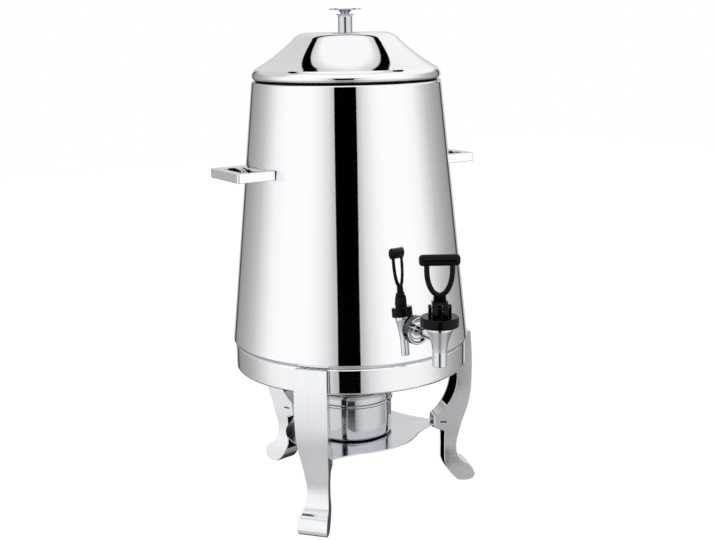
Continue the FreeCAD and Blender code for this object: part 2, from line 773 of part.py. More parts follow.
def knob_cap():
    """Thin disc on a trumpet neck, its spigot pressed into the stem."""
    base = lid_top + weld_gap
    seat = base + knob_stem_height - knob_dish + weld_gap
    top = base + knob_height
    return spun(closed((0, seat - knob_spigot_length + 1), [
        (knob_spigot_radius, seat - knob_spigot_length + 1),
        (knob_spigot_radius, seat),
        (knob_neck_radius, seat),
        ((knob_neck_radius + 2.6, top - 2.6), (0.72 * knob_disc_radius, top - knob_disc_edge - 0.5)),
        (knob_disc_radius - 0.5, top - knob_disc_edge),
        (knob_disc_radius, top - knob_disc_edge / 2),
        (knob_disc_radius - 0.5, top),
        (0.6 * knob_disc_radius, top - 0.3),
        (0, top - 0.9)]))


def knob_washer():
    top = lid_top - lid_wall - weld_gap
    return tube(knob_washer_radius, knob_screw_radius + thread_gap, top - knob_washer_thickness, top)


def knob_screw():
    seat = lid_top - lid_wall - 2 * weld_gap - knob_washer_thickness
    length = lid_top - seat + 0.85 * knob_screw_depth
    screw = pan_screw(knob_screw_radius, length, knob_screw_head_radius, knob_screw_head)
    screw.translate(V(0, 0, seat))
    return screw


def tap_flange():
    """Dished cover plate whose back follows the wall."""
    face = tap_face
    back = face - flange_thickness - 3 * seal_thickness
    rim = 1.1
    body = spun(closed((shank_radius + thread_gap, 0), [
        (flange_radius, 0),
        (flange_radius, face - back - rim),
        ((flange_radius - 0.3 * rim, face - back - 0.3 * rim), (flange_radius - rim, face - back)),
        (flange_dish_radius + 0.8, face - back),
        ((flange_dish_radius - 1.5, face - back - 0.75 * flange_dish_depth),
         (shank_radius + thread_gap + 0.8, face - back - flange_dish_depth)),
        (shank_radius + thread_gap, face - back - flange_dish_depth)]))
    return outwards(body, back, tap_height).cut(wall_cone(seal_thickness + 2 * weld_gap))


def tap_gaskets(offset_low, offset_high):
    """Soft washer between two offsets of the wall."""
    ring = tube(gasket_radius, shank_radius + thread_gap, 0, 12 * shell_wall)
    placed = outwards(ring, tap_wall - 6 * shell_wall, tap_height)
    return placed.common(wall_cone(offset_high)).cut(wall_cone(offset_low))


def tap_shank():
    """Threaded tail through the wall and the neck that carries the barrel."""
    inner_end = tap_wall - shell_wall - shank_inside
    shoulder = tap_face - flange_dish_depth
    neck_end = tap_reach - 0.62 * barrel_radius
    tail = shoulder - inner_end
    neck = neck_end - inner_end
    body = spun(closed((0, 0), [
        (shank_radius - 0.8, 0),
        (shank_radius, 0.8),
        (shank_radius, tail),
        (shank_neck_root + 1.2, tail),
        ((shank_neck_root + 0.2, tail + 1.0), (shank_neck_root, tail + 2.2)),
        (shank_neck_end, neck),
        (0, neck)]))
    body = outwards(body.cut(Part.makeCylinder(shank_bore, neck)), inner_end, tap_height)
    return body.cut(barrel_blank(weld_gap))


def on_barrel(shape):
    """Move a shape made on the urn's axis to the barrel's axis."""
    placed = shape.copy()
    placed.translate(V(0, -tap_reach, 0))
    return placed


def on_turned_barrel(shape):
    """The same, turned as the collar and the handle are."""
    return on_barrel(at_azimuth(shape, tap_turn))


def barrel_blank(grow):
    """Outside of the tap's barrel and spout, on its own axis."""
    cone_end = (spout_radius + grow, spout_top)
    bulge = (0.5 * (barrel_radius + spout_radius) - 0.7 + grow, 0.5 * (barrel_top + spout_top))
    body = spun(closed((0, spout_bottom - grow), [
        (spout_radius + grow - 0.5, spout_bottom - grow),
        (spout_radius + grow, spout_bottom - grow + 0.5),
        cone_end,
        (bulge, (barrel_radius + grow, barrel_top - 3)),
        (barrel_radius + grow, barrel_top),
        (0, barrel_top)]))
    return on_barrel(body)


def tap_body():
    """Barrel with the valve chamber, its seat and the spout."""
    inside = spun(closed((0, spout_bottom - 1), [
        (spout_bore, spout_bottom - 1),
        (spout_bore, seat_height),
        (chamber_radius, chamber_floor),
        (chamber_radius, barrel_top + 1),
        (0, barrel_top + 1)]))
    port = outwards(Part.makeCylinder(shank_bore, barrel_radius), tap_reach - barrel_radius, tap_height)
    return barrel_blank(0).cut(on_barrel(inside)).cut(port)


def tap_collar():
    """Bonnet nut with a stem hole and two ears beside the handle."""
    disc = Part.makeCylinder(collar_radius, collar_height, V(0, 0, barrel_top + weld_gap))
    rims = [edge for edge in disc.Edges if abs(edge.Length - 2 * math.pi * collar_radius) < 0.1]
    disc = disc.makeFillet(collar_edge, rims)
    ear_inner = hub_width / 2 + ear_gap
    top = collar_top + weld_gap
    for side_sign in (-1, 1):
        x0, x1 = sorted((side_sign * ear_inner, side_sign * (ear_inner + ear_thickness)))
        ear = box_between(x0, x1, -ear_depth / 2, ear_depth / 2, top - 1, top + ear_height)
        crown = [edge for edge in ear.Edges
                 if abs(edge.CenterOfMass.z - top - ear_height) < 0.01
                 and abs(abs(edge.CenterOfMass.y) - ear_depth / 2) < 0.01]
        disc = disc.fuse(ear.makeFillet(0.4 * ear_depth, crown))
    disc = disc.cut(Part.makeCylinder(chamber_radius, collar_height - collar_web,
                                      V(0, 0, barrel_top + weld_gap)))
    disc = disc.cut(Part.makeCylinder(rod_radius + running_gap, 2 * collar_height, V(0, 0, barrel_top)))
    return on_turned_barrel(disc)


def valve_rod():
    """Rod through the collar: flat eye at the top for the handle's pin, button at the bottom."""
    foot = seat_height + cup_seal_height
    eye = rod_head_depth / 2
    rod = Part.makeCylinder(rod_radius, pin_level - foot, V(0, 0, foot))
    flat = box_between(-rod_radius, rod_radius, -eye, eye, collar_top + 1.2, pin_level)
    head = Part.makeCylinder(eye, 2 * rod_radius, V(-rod_radius, 0, pin_level), V(1, 0, 0))
    barb = Part.makeCylinder(1.6 * rod_radius, 1.2, V(0, 0, foot))
    tip = Part.makeCylinder(0.8 * rod_radius, 0.5 * cup_seal_height, V(0, 0, foot - 0.5 * cup_seal_height))
    rod = rod.fuse([flat, head, barb, tip])
    hole = Part.makeCylinder(pin_radius + running_gap, hub_width, V(-hub_width / 2, 0, pin_level), V(1, 0, 0))
    rod = rod.cut(hole)
    return on_turned_barrel(rod)


def seat_cup():
    """Soft plug that closes the spout."""
    seat_slope = (chamber_radius - spout_bore) / (chamber_floor - seat_height)
    shut = seat_gap / 2
    low = spout_bore - 1.0
    high = cup_seal_radius
    rise = (high - low) / seat_slope
    start = seat_height - 1.0 / seat_slope + shut
    top = seat_height + cup_seal_height - weld_gap
    body = spun(closed((0, start), [(low, start), (high, start + rise), (high, top), (0, top)]))
    socket = Part.makeCylinder(0.8 * rod_radius + weld_gap, 0.5 * cup_seal_height + weld_gap,
                               V(0, 0, top - 0.5 * cup_seal_height))
    return on_barrel(body.cut(socket))


def valve_spring():
    """Open coil between the rod's button and the collar."""
    low = seat_height + cup_seal_height + 1.2 + spring_wire + weld_gap
    high = collar_top - collar_web - spring_wire - weld_gap
    steps = 4 * spring_turns
    climb = (high - low) / steps
    slope = V(0, spring_radius * math.pi / 2, climb).normalize()
    edges = []
    for i in range(steps):
        start, end = [V(*corner((0, 0), spring_radius, 90 * k), climb * k) for k in (i, i + 1)]
        leave, arrive = [FreeCAD.Rotation(V(0, 0, 1), 90 * k).multVec(slope) for k in (i, i + 1)]
        edges += biarc(start, leave, end, arrive)
    section = Part.Wire(Part.makeCircle(spring_wire, V(spring_radius, 0, 0), slope))
    coil = Part.Wire(edges).makePipeShell([section], True, False)
    coil.translate(V(0, 0, low))
    return on_barrel(coil)


def tap_handle():
    """Loop handle with a grip bar and a forked hub whose curved foot lifts the rod."""
    points = []
    rest = pin_height - seat_gap
    steps = 6
    for i in range(steps + 1):
        turn = math.radians(handle_turn + cam_run_out) * i / steps
        reach = rest + cam_lift * turn
        points.append(V(0, -reach * math.sin(turn) - cam_lift * math.cos(turn),
                        -reach * math.cos(turn) + cam_lift * math.sin(turn)))
    crown = V(0, -loop_depth / 2, hub_top - pin_height)
    back_crown = V(0, loop_depth / 2, hub_top - pin_height)
    back_foot = V(0, hub_back, -rest)
    brow = V(0, points[-1].y + 0.6, points[-1].z + 2.5)
    cam = Part.BSplineCurve()
    cam.interpolate(points)
    edges = [Part.LineSegment(back_foot, points[0]).toShape(), cam.toShape(),
             Part.LineSegment(points[-1], brow).toShape(),
             Part.LineSegment(brow, crown).toShape(),
             Part.LineSegment(crown, back_crown).toShape(),
             Part.LineSegment(back_crown, back_foot).toShape()]
    hub = Part.Face(Part.Wire(edges)).extrude(V(hub_width, 0, 0))
    hub.translate(V(-hub_width / 2, 0, pin_height))
    half_hub = hub_width / 2
    half_loop = loop_top_width / 2
    low = hub_top - 3
    knee = low + 0.36 * (grip_height - low)
    outer = [Part.LineSegment(V(-half_hub, 0, low), V(half_hub, 0, low)).toShape(),
             Part.Arc(V(half_hub, 0, low), V(0.5 * (half_hub + half_loop) + 0.9, 0, knee),
                      V(half_loop, 0, grip_height)).toShape(),
             Part.LineSegment(V(half_loop, 0, grip_height), V(-half_loop, 0, grip_height)).toShape(),
             Part.Arc(V(-half_loop, 0, grip_height), V(-0.5 * (half_hub + half_loop) - 0.9, 0, knee),
                      V(-half_hub, 0, low)).toShape()]
    loop = Part.Face(Part.Wire(outer)).extrude(V(0, loop_depth, 0))
    loop.translate(V(0, -loop_depth / 2, 0))
    ceiling = grip_height - 0.5 * grip_radius
    shoulder = window_floor + 0.5 * window_waist_width
    half_top = window_top_width / 2
    half_waist = window_waist_width / 2
    hip = shoulder + 0.4 * (ceiling - shoulder)
    window = [Part.Arc(V(-half_waist, 0, shoulder), V(0, 0, window_floor), V(half_waist, 0, shoulder)).toShape(),
              Part.Arc(V(half_waist, 0, shoulder), V(0.45 * half_waist + 0.55 * half_top, 0, hip),
                       V(half_top, 0, ceiling)).toShape(),
              Part.LineSegment(V(half_top, 0, ceiling), V(-half_top, 0, ceiling)).toShape(),
              Part.Arc(V(-half_top, 0, ceiling), V(-0.45 * half_waist - 0.55 * half_top, 0, hip),
                       V(-half_waist, 0, shoulder)).toShape()]
    opening = Part.Face(Part.Wire(window)).extrude(V(0, 3 * loop_depth, 0))
    opening.translate(V(0, -1.5 * loop_depth, 0))
    bar_start = -grip_length / 2
    bar = Part.makeCylinder(grip_radius, grip_length, V(bar_start, 0, grip_height), V(1, 0, 0))
    bar = bar.makeFillet(0.7 * grip_radius, [e for e in bar.Edges if e.Closed and abs(e.CenterOfMass.x) > 1])
    slot = box_between(-fork_slot / 2, fork_slot / 2, -3 * loop_depth, 3 * loop_depth,
                       -pin_height, pin_height + 0.5 * rod_head_depth + 1.5)
    hole = Part.makeCylinder(pin_radius + weld_gap, 2 * hub_width, V(-hub_width, 0, pin_height), V(1, 0, 0))
    body = hub.fuse(loop).cut(opening).fuse(bar).cut(slot).cut(hole).removeSplitter()
    body.translate(V(0, 0, collar_top))
    return on_turned_barrel(body)


def tap_pin():
    length = hub_width - 2 * weld_gap
    return on_turned_barrel(Part.makeCylinder(pin_radius, length, V(-length / 2, 0, pin_level), V(1, 0, 0)))


def tap_lock_nut():
    """Nut inside the urn, its face shaped to the gasket."""
    nut = prism(lock_nut_across, lock_nut_height + 3 * seal_thickness)
    nut = nut.cut(Part.makeCylinder(shank_radius + thread_gap, lock_nut_height + 3 * seal_thickness))
    inner = -(shell_wall / math.cos(math.radians(wall_tilt)) + seal_thickness + 3 * weld_gap)
    placed = outwards(nut, tap_wall + inner - lock_nut_height, tap_height)
    return placed.common(wall_cone(inner))


os.makedirs("parts", exist_ok=True)
slant_wall = shell_wall / math.cos(math.radians(wall_tilt))
right_handle = carrying_handle()
one_leg = leg()

save("stand_ring", stand_ring())
for leg_name, leg_azimuth in leg_azimuths.items():
    save(leg_name, at_azimuth(one_leg, leg_azimuth))
save("leg_screws", leg_screws())
save("shelf_plate", shelf_plate())
save("shelf_screws", shelf_screws())
save("shelf_nuts", shelf_nuts())
save("burner_cup", burner_cup())
save("urn_shell", urn_shell())
save("urn_base", urn_base())
save("mouth_ring", mouth_ring())
save("handle_right", right_handle)
save("handle_left", at_azimuth(right_handle, 180))
save("handle_screws", handle_screws())
save("handle_seals", handle_seals())
save("tap_flange", tap_flange())
save("tap_outer_gasket", tap_gaskets(weld_gap, seal_thickness + weld_gap))
save("tap_inner_gasket", tap_gaskets(-slant_wall - weld_gap - seal_thickness, -slant_wall - weld_gap))
save("tap_lock_nut", tap_lock_nut())
save("tap_shank", tap_shank())
save("tap_body", tap_body())
save("tap_collar", tap_collar())
save("valve_rod", valve_rod())
save("seat_cup", seat_cup())
save("valve_spring", valve_spring())
save("tap_handle", tap_handle())
save("tap_pin", tap_pin())
save("lid_shell", lid_shell())
save("lid_skirt", lid_skirt())
save("knob_stem", knob_stem())
save("knob_cap", knob_cap())
save("knob_washer", knob_washer())
save("knob_screw", knob_screw())
print("tap handle turns", handle_turn, "degrees and lifts the rod",
      round(cam_lift * math.radians(handle_turn), 2), "mm")
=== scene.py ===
# %% [markdown]
# A polished buffet coffee urn, dressed for a studio picture.
#
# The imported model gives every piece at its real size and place. This script gives the pieces their
# finishes, models again the ones whose edges and small forms show from a step away, and sets up a
# plain white studio. Lengths are metres. The urn's axis is the Z axis and the tap points to -Y.

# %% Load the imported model
import json
import math
import bmesh
import bpy
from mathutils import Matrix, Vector
from mathutils.bvhtree import BVHTree

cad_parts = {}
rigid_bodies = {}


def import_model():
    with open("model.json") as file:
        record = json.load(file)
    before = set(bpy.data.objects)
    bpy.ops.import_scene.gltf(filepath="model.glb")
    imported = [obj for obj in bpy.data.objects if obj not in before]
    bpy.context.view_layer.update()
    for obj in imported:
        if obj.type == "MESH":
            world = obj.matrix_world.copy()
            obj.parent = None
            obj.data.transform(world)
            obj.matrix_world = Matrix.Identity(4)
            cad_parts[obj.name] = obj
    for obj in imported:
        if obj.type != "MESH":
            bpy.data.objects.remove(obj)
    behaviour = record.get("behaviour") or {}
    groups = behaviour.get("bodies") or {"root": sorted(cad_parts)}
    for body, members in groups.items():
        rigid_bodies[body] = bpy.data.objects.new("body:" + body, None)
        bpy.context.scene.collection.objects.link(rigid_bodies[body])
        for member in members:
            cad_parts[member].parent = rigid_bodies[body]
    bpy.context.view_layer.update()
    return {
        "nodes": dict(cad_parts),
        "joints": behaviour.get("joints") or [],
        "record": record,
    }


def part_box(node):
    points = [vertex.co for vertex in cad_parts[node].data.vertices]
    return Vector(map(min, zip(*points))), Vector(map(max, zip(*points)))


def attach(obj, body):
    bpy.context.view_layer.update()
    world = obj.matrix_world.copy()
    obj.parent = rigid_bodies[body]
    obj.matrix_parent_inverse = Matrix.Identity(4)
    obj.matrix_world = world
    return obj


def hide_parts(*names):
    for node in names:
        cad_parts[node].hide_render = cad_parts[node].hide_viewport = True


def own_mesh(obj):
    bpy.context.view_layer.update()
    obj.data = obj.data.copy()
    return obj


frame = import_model()
joints = {joint["name"]: joint for joint in frame["joints"]}
bpy.ops.object.select_all(action="DESELECT")

# %% [markdown]
# The camera stands in front of the urn and to its left, a little above the lid, and looks down.
# A camera could be aimed by a constraint, but the picture's slight roll is easier to give as plain
# angles: first the tilt from straight down, then the turn about the vertical, then the roll about
# the line of sight.

# %% Camera
camera_azimuth = -32.0
camera_distance = 1.24355
camera_height = 0.52977
camera_yaw = 0.436
camera_pitch = -12.395
camera_roll = -0.911
camera_lens = 57.63

turn = math.radians(camera_azimuth)
bpy.ops.object.camera_add(location=(camera_distance * math.sin(turn), -camera_distance * math.cos(turn),
                                    camera_height))
camera = bpy.context.object
camera.name = "studio_camera"
camera.rotation_euler = (math.radians(90 + camera_pitch), 0, turn - math.radians(camera_yaw))
camera.rotation_euler.rotate_axis("Z", math.radians(camera_roll))
camera.data.lens = camera_lens
camera.data.sensor_width = 36
camera.data.clip_start = 0.05
bpy.context.scene.camera = camera
print("camera at", [round(v, 3) for v in camera.location])

# %% [markdown]
# The studio and every finish are small networks of shader nodes. They could be wired by hand in the
# editor. A few helpers that each add one node and link it keep the networks readable as sums.

# %% Helpers for shader nodes
def node(tree, kind, **settings):
    """Add one shader node and set its plain values."""
    made = tree.nodes.new(kind)
    for name, value in settings.items():
        setattr(made, name, value)
    return made


def feed(tree, socket, value):
    """Give a socket a plain number or the output of another node."""
    if isinstance(value, (int, float)):
        socket.default_value = value
    else:
        tree.links.new(value, socket)


def math_node(tree, operation, first, second=0.0):
    """One sum on numbers or on the outputs of other nodes."""
    made = node(tree, "ShaderNodeMath", operation=operation)
    feed(tree, made.inputs[0], first)
    feed(tree, made.inputs[1], second)
    return made.outputs[0]


def smooth_step(tree, value, low, high, start, end):
    """Number that eases from start to end as value goes from low to high."""
    made = node(tree, "ShaderNodeMapRange", interpolation_type="SMOOTHSTEP")
    for name, setting in (("Value", value), ("From Min", low), ("From Max", high), ("To Min", start),
                          ("To Max", end)):
        feed(tree, made.inputs[name], setting)
    return made.outputs["Result"]


def mixed(tree, factor, first, second):
    """Number that is the first where the factor is 0 and the second where it is 1."""
    made = node(tree, "ShaderNodeMix", data_type="FLOAT")
    for key, value in (("Factor", factor), (2, first), (3, second)):
        feed(tree, made.inputs[key], value)
    return made.outputs["Result"]


print("helpers", [helper.__name__ for helper in (node, feed, math_node, smooth_step, mixed)])

# %% [markdown]
# Polished steel shows the room more than itself, so the room is the main finish. It could be built
# from cards and lamps around the urn, but a world that gives each direction its own brightness is
# lighter and gives no noise. The world turns with the camera's azimuth, and each direction is taken
# apart into how far it is from the camera's side and how far it is above the floor.

# %% Directions in the studio
world = bpy.data.worlds.new("studio")
bpy.context.scene.world = world
world.use_nodes = True
studio = world.node_tree
studio.nodes.clear()

strip_centre = -1.5                # degrees from the camera's direction, positive to its right
ray = node(studio, "ShaderNodeTexCoord")
facing = node(studio, "ShaderNodeMapping", vector_type="VECTOR")
facing.inputs["Rotation"].default_value = (0, 0, math.radians(-camera_azimuth))
studio.links.new(ray.outputs["Generated"], facing.inputs["Vector"])
split = node(studio, "ShaderNodeSeparateXYZ")
studio.links.new(facing.outputs["Vector"], split.inputs["Vector"])
right, away, up = split.outputs
behind = math_node(studio, "MULTIPLY", away, -1.0)
side = math_node(studio, "MULTIPLY", math_node(studio, "ARCTAN2", right, behind), 180 / math.pi)
from_strip = math_node(studio, "ABSOLUTE", math_node(studio, "SUBTRACT", side, strip_centre))
elevation = math_node(studio, "MULTIPLY", math_node(studio, "ARCSINE", up), 180 / math.pi)
print("studio turned by", -camera_azimuth, "degrees")

# %% [markdown]
# Seen from the urn, the camera's side of the room is white and the sides fall off to grey. Far
# behind there are dark flags that draw the thin dark lines along the urn's outline. One narrow
# black strip stands in front of the urn, as a photographer sets it up to show that the steel is
# polished. It ends above the floor and under the lid's level.

# %% Walls, flags and the black strip
side_stops = [(0.000, 0.54), (0.072, 0.57), (0.11, 0.80), (0.17, 0.98), (0.23, 1.06), (0.39, 1.06),
              (0.47, 0.98), (0.53, 0.80), (0.60, 0.58), (0.69, 0.43), (0.77, 0.36), (0.822, 0.30),
              (0.835, 0.07), (0.866, 0.07), (0.885, 0.66)]    # share of half a turn, and brightness
floor_line = (-21.0, -19.5)        # elevations in degrees between which the walls meet the floor
low_flags = (144.0, 150.0)         # degrees from the strip past which the floor is flagged off
low_flag_dark = 0.9
strip_low = 10.6                   # half width of the strip near the floor, and at the rim's level
strip_high = 12.9
strip_levels = (-5.0, 9.0)
strip_edge = 0.4
strip_end = (13.0, 15.0)

wall_ramp = node(studio, "ShaderNodeValToRGB")
elements = wall_ramp.color_ramp.elements
while len(elements) < len(side_stops):
    elements.new(0.5)
for element, (stop, grey) in zip(elements, side_stops):
    element.position = stop
    element.color = (grey, grey, grey, 1)
studio.links.new(math_node(studio, "DIVIDE", from_strip, 180.0), wall_ramp.inputs["Fac"])
below = smooth_step(studio, elevation, *floor_line, 1.0, 0.0)
flagged = smooth_step(studio, from_strip, *low_flags, 0.0, low_flag_dark)
unflagged = math_node(studio, "SUBTRACT", 1.0, math_node(studio, "MULTIPLY", below, flagged))
walls = math_node(studio, "MULTIPLY", wall_ramp.outputs["Color"], unflagged)
half_width = smooth_step(studio, elevation, *strip_levels, strip_low, strip_high)
past_strip = math_node(studio, "SUBTRACT", from_strip, half_width)
strip = smooth_step(studio, past_strip, -strip_edge, strip_edge, 0.0, 1.0)
past_ends = math_node(studio, "MAXIMUM", smooth_step(studio, elevation, *strip_end, 0.0, 1.0), below)
low_walls = math_node(studio, "MULTIPLY", walls, math_node(studio, "MAXIMUM", strip, past_ends))
print("wall stops", len(side_stops), "strip", 2 * strip_low, "to", 2 * strip_high, "degrees wide")

# %% [markdown]
# Higher up the room is a pale tent, lit from the front and darker on the left. Between the tent's
# back and the overhead light there is a black gap, which the lid's flare shows as a dark curve.

# %% Tent, gap and overhead light
tent_left = 0.68
tent_right = 1.0
tent_turn = 0.6                    # reach of the change, as a part of the direction to the right
front_light = 1.06
front_turn = 0.3
tent_start = (9.0, 22.0)           # elevations in degrees
gap_bottom = (50.3, 51.3)
gap_top = (56.9, 57.9)
gap_side = (0.05, 0.15)            # the gap is only behind the urn
light_start = (54.0, 56.0)
light_growth = (57.0, 67.0)
light_edge = 0.66
light_middle = 1.02

tent = smooth_step(studio, right, -tent_turn, tent_turn, tent_left, tent_right)
front = smooth_step(studio, away, -front_turn, front_turn, front_light, 0.0)
high_walls = math_node(studio, "MAXIMUM", tent, front)
room = mixed(studio, smooth_step(studio, elevation, *tent_start, 0.0, 1.0), low_walls, high_walls)
gap_low = smooth_step(studio, elevation, *gap_bottom, 0.0, 1.0)
gap_high = smooth_step(studio, elevation, *gap_top, 1.0, 0.0)
gap_behind = smooth_step(studio, away, *gap_side, 0.0, 1.0)
gap = math_node(studio, "MULTIPLY", math_node(studio, "MULTIPLY", gap_low, gap_high), gap_behind)
overhead = smooth_step(studio, elevation, *light_growth, light_edge, light_middle)
lit = mixed(studio, smooth_step(studio, elevation, *light_start, 0.0, 1.0), room, overhead)
lit = math_node(studio, "MULTIPLY", lit, math_node(studio, "SUBTRACT", 1.0, gap))
print("gap from", gap_bottom[0], "to", gap_top[1], "degrees up")

# %% [markdown]
# The room gets darker towards the floor under the urn. The lens itself sees plain white, because
# the backdrop of the picture is white. Only what the metal shows and what lights it is the room.

# %% What the lens sees
floor_fall = (-45.0, -8.0)
floor_dark = 0.55

lit = math_node(studio, "MULTIPLY", lit, smooth_step(studio, elevation, *floor_fall, floor_dark, 1.0))
paths = node(studio, "ShaderNodeLightPath")
seen = mixed(studio, paths.outputs["Is Camera Ray"], lit, 1.0)
glow = node(studio, "ShaderNodeBackground")
studio.links.new(seen, glow.inputs["Color"])
shown = node(studio, "ShaderNodeOutputWorld")
studio.links.new(glow.outputs["Background"], shown.inputs["Surface"])
print("studio nodes", len(studio.nodes))

# %% [markdown]
# The floor is a plain pale sheet. To the lens it is white with the urn's faint shadow. To the metal
# it is clear, so that the steel reflects the studio's own low part and not a hard white plane.

# %% Floor
floor_size = 6.0
floor_level = -0.0002
floor_shadow = 0.16                # share of the light that the sheet gives back
floor_white = 0.92

bpy.ops.mesh.primitive_plane_add(size=floor_size, location=(0, 0, floor_level))
floor = bpy.context.object
floor.name = "studio_floor"
paper = bpy.data.materials.new("white_paper")
paper.use_nodes = True
tree = paper.node_tree
tree.nodes.clear()
paths = node(tree, "ShaderNodeLightPath")
matt = node(tree, "ShaderNodeBsdfDiffuse")
matt.inputs["Color"].default_value = (floor_shadow, floor_shadow, floor_shadow, 1)
white = node(tree, "ShaderNodeEmission")
white.inputs["Strength"].default_value = floor_white
both = node(tree, "ShaderNodeAddShader")
tree.links.new(matt.outputs[0], both.inputs[0])
tree.links.new(white.outputs[0], both.inputs[1])
clear = node(tree, "ShaderNodeBsdfTransparent")
choose = node(tree, "ShaderNodeMixShader")
tree.links.new(paths.outputs["Is Glossy Ray"], choose.inputs["Fac"])
tree.links.new(both.outputs[0], choose.inputs[1])
tree.links.new(clear.outputs[0], choose.inputs[2])
out = node(tree, "ShaderNodeOutputMaterial")
tree.links.new(choose.outputs[0], out.inputs["Surface"])
floor.data.materials.append(paper)
print("floor", floor.name, [round(v, 2) for v in floor.dimensions])

# %% [markdown]
# Every finish here is a small node tree that reads Object coordinates, so it stays on its piece when
# the piece moves. The building blocks are the place on the piece, a noise that can be stretched into
# streaks, a colour that goes between two tones, and a shallow relief.

# %% Building blocks of a finish
def place_on(tree, centre=(0, 0, 0)):
    """Object coordinates measured from a centre, as three separate numbers."""
    where = node(tree, "ShaderNodeTexCoord")
    shift = node(tree, "ShaderNodeMapping", vector_type="POINT")
    shift.inputs["Location"].default_value = [-value for value in centre]
    tree.links.new(where.outputs["Object"], shift.inputs["Vector"])
    parts = node(tree, "ShaderNodeSeparateXYZ")
    tree.links.new(shift.outputs["Vector"], parts.inputs["Vector"])
    return parts.outputs


def streaks(tree, place, stretch, detail=3.0):
    """Noise that changes fast along the directions with a large stretch."""
    joined = node(tree, "ShaderNodeCombineXYZ")
    for socket, value, times in zip(joined.inputs, place, stretch):
        tree.links.new(math_node(tree, "MULTIPLY", value, times), socket)
    noise = node(tree, "ShaderNodeTexNoise")
    noise.inputs["Scale"].default_value = 1.0
    noise.inputs["Detail"].default_value = detail
    tree.links.new(joined.outputs["Vector"], noise.inputs["Vector"])
    return noise.outputs["Fac"]


def average(tree, first, second):
    return math_node(tree, "MULTIPLY", math_node(tree, "ADD", first, second), 0.5)


def radius_of(tree, first, second):
    """Distance from an axis, from the two coordinates across it."""
    squares = math_node(tree, "ADD", math_node(tree, "MULTIPLY", first, first),
                        math_node(tree, "MULTIPLY", second, second))
    return math_node(tree, "SQRT", squares)


def colours(tree, factor, low, high, low_colour, high_colour):
    """Colour that goes from one to another as a number goes from low to high."""
    made = node(tree, "ShaderNodeValToRGB")
    first, last = made.color_ramp.elements
    first.position, last.position = low, high
    first.color, last.color = (*low_colour, 1), (*high_colour, 1)
    tree.links.new(factor, made.inputs["Fac"])
    return made.outputs["Color"]


def relief(tree, height, surface, depth, strength):
    """Bump of a given depth in metres."""
    bump = node(tree, "ShaderNodeBump")
    bump.inputs["Strength"].default_value = strength
    bump.inputs["Distance"].default_value = depth
    tree.links.new(height, bump.inputs["Height"])
    tree.links.new(bump.outputs["Normal"], surface.inputs["Normal"])


def new_finish(name, metallic):
    """Material with its main shader, before any pattern."""
    made = bpy.data.materials.new(name)
    made.use_nodes = True
    surface = made.node_tree.nodes["Principled BSDF"]
    surface.inputs["Metallic"].default_value = metallic
    return made, made.node_tree, surface


print("blocks", [block.__name__ for block in (place_on, streaks, colours, relief, new_finish)])

# %% [markdown]
# The urn, the lid, the band and the cup are spun or rolled and then buffed while they turn, so their
# polishing lines run round the axis. A noise that is squeezed many times along the height and the
# radius, and hardly at all round the axis, gives those lines. They barely show in the colour. They
# make the gloss vary a little, as real buffing does.

# %% Spun and buffed steel
tone_spread = (0.35, 0.65)         # the average of two noises mostly lies between these values
gloss_spread = (0.3, 0.7)          # and a single noise between these
spun_along = 6.0                   # changes in a metre along a polishing line
spun_clouds = (9.0, 9.0, 14.0)
spun_depth = 0.00001


def spun_steel(name, dull, bright, smooth, rough, centre=(0, 0, 0), lines=900.0, sharp=0.02):
    """Steel buffed while it turned about an upright axis."""
    made, tree, surface = new_finish(name, 1.0)
    x, y, z = place_on(tree, centre)
    out = math_node(tree, "ADD", radius_of(tree, x, y), z)
    fine = streaks(tree, (x, y, out), (spun_along, spun_along, lines))
    broad = streaks(tree, (x, y, z), spun_clouds, 1.0)
    tree.links.new(colours(tree, average(tree, fine, broad), *tone_spread, dull, bright),
                   surface.inputs["Base Color"])
    tree.links.new(smooth_step(tree, fine, *gloss_spread, smooth, rough), surface.inputs["Roughness"])
    relief(tree, fine, surface, spun_depth, sharp)
    print("spun steel", made.name)
    return made


# %% [markdown]
# The legs and the shelf are ground with a belt and then polished by hand. Their grain runs one way
# only: down a leg, across the shelf. The same noise does it, squeezed across the grain. A belt
# leaves a surface less sharp than buffing, so the reflections are broad and soft.

# %% Belt ground steel
ground_clouds = (22.0, 22.0, 22.0)
ground_depth = 0.00003
ground_sharp = 0.08


def ground_steel(name, dull, bright, smooth, rough, grain=(700.0, 700.0, 9.0)):
    """Steel with straight grain: the smallest number is along the grain."""
    made, tree, surface = new_finish(name, 1.0)
    place = place_on(tree)
    fine = streaks(tree, place, grain)
    broad = streaks(tree, place, ground_clouds, 1.0)
    tree.links.new(colours(tree, average(tree, fine, broad), *tone_spread, dull, bright),
                   surface.inputs["Base Color"])
    tree.links.new(smooth_step(tree, broad, *gloss_spread, smooth, rough), surface.inputs["Roughness"])
    relief(tree, fine, surface, ground_depth, ground_sharp)
    print("ground steel", made.name)
    return made


# %% [markdown]
# The tap's handle and collar are moulded in black plastic. Such plastic is nearly black and
# glossy, so what shows of its shape is thin highlights along its edges. A very fine noise in the
# relief gives the slight orange peel of a moulding, and a second one lets the gloss vary.

# %% Moulded black plastic and soft seals
moulded_clouds = (160.0, 160.0, 160.0)
peel_depth = 0.00002
peel_sharp = 0.1


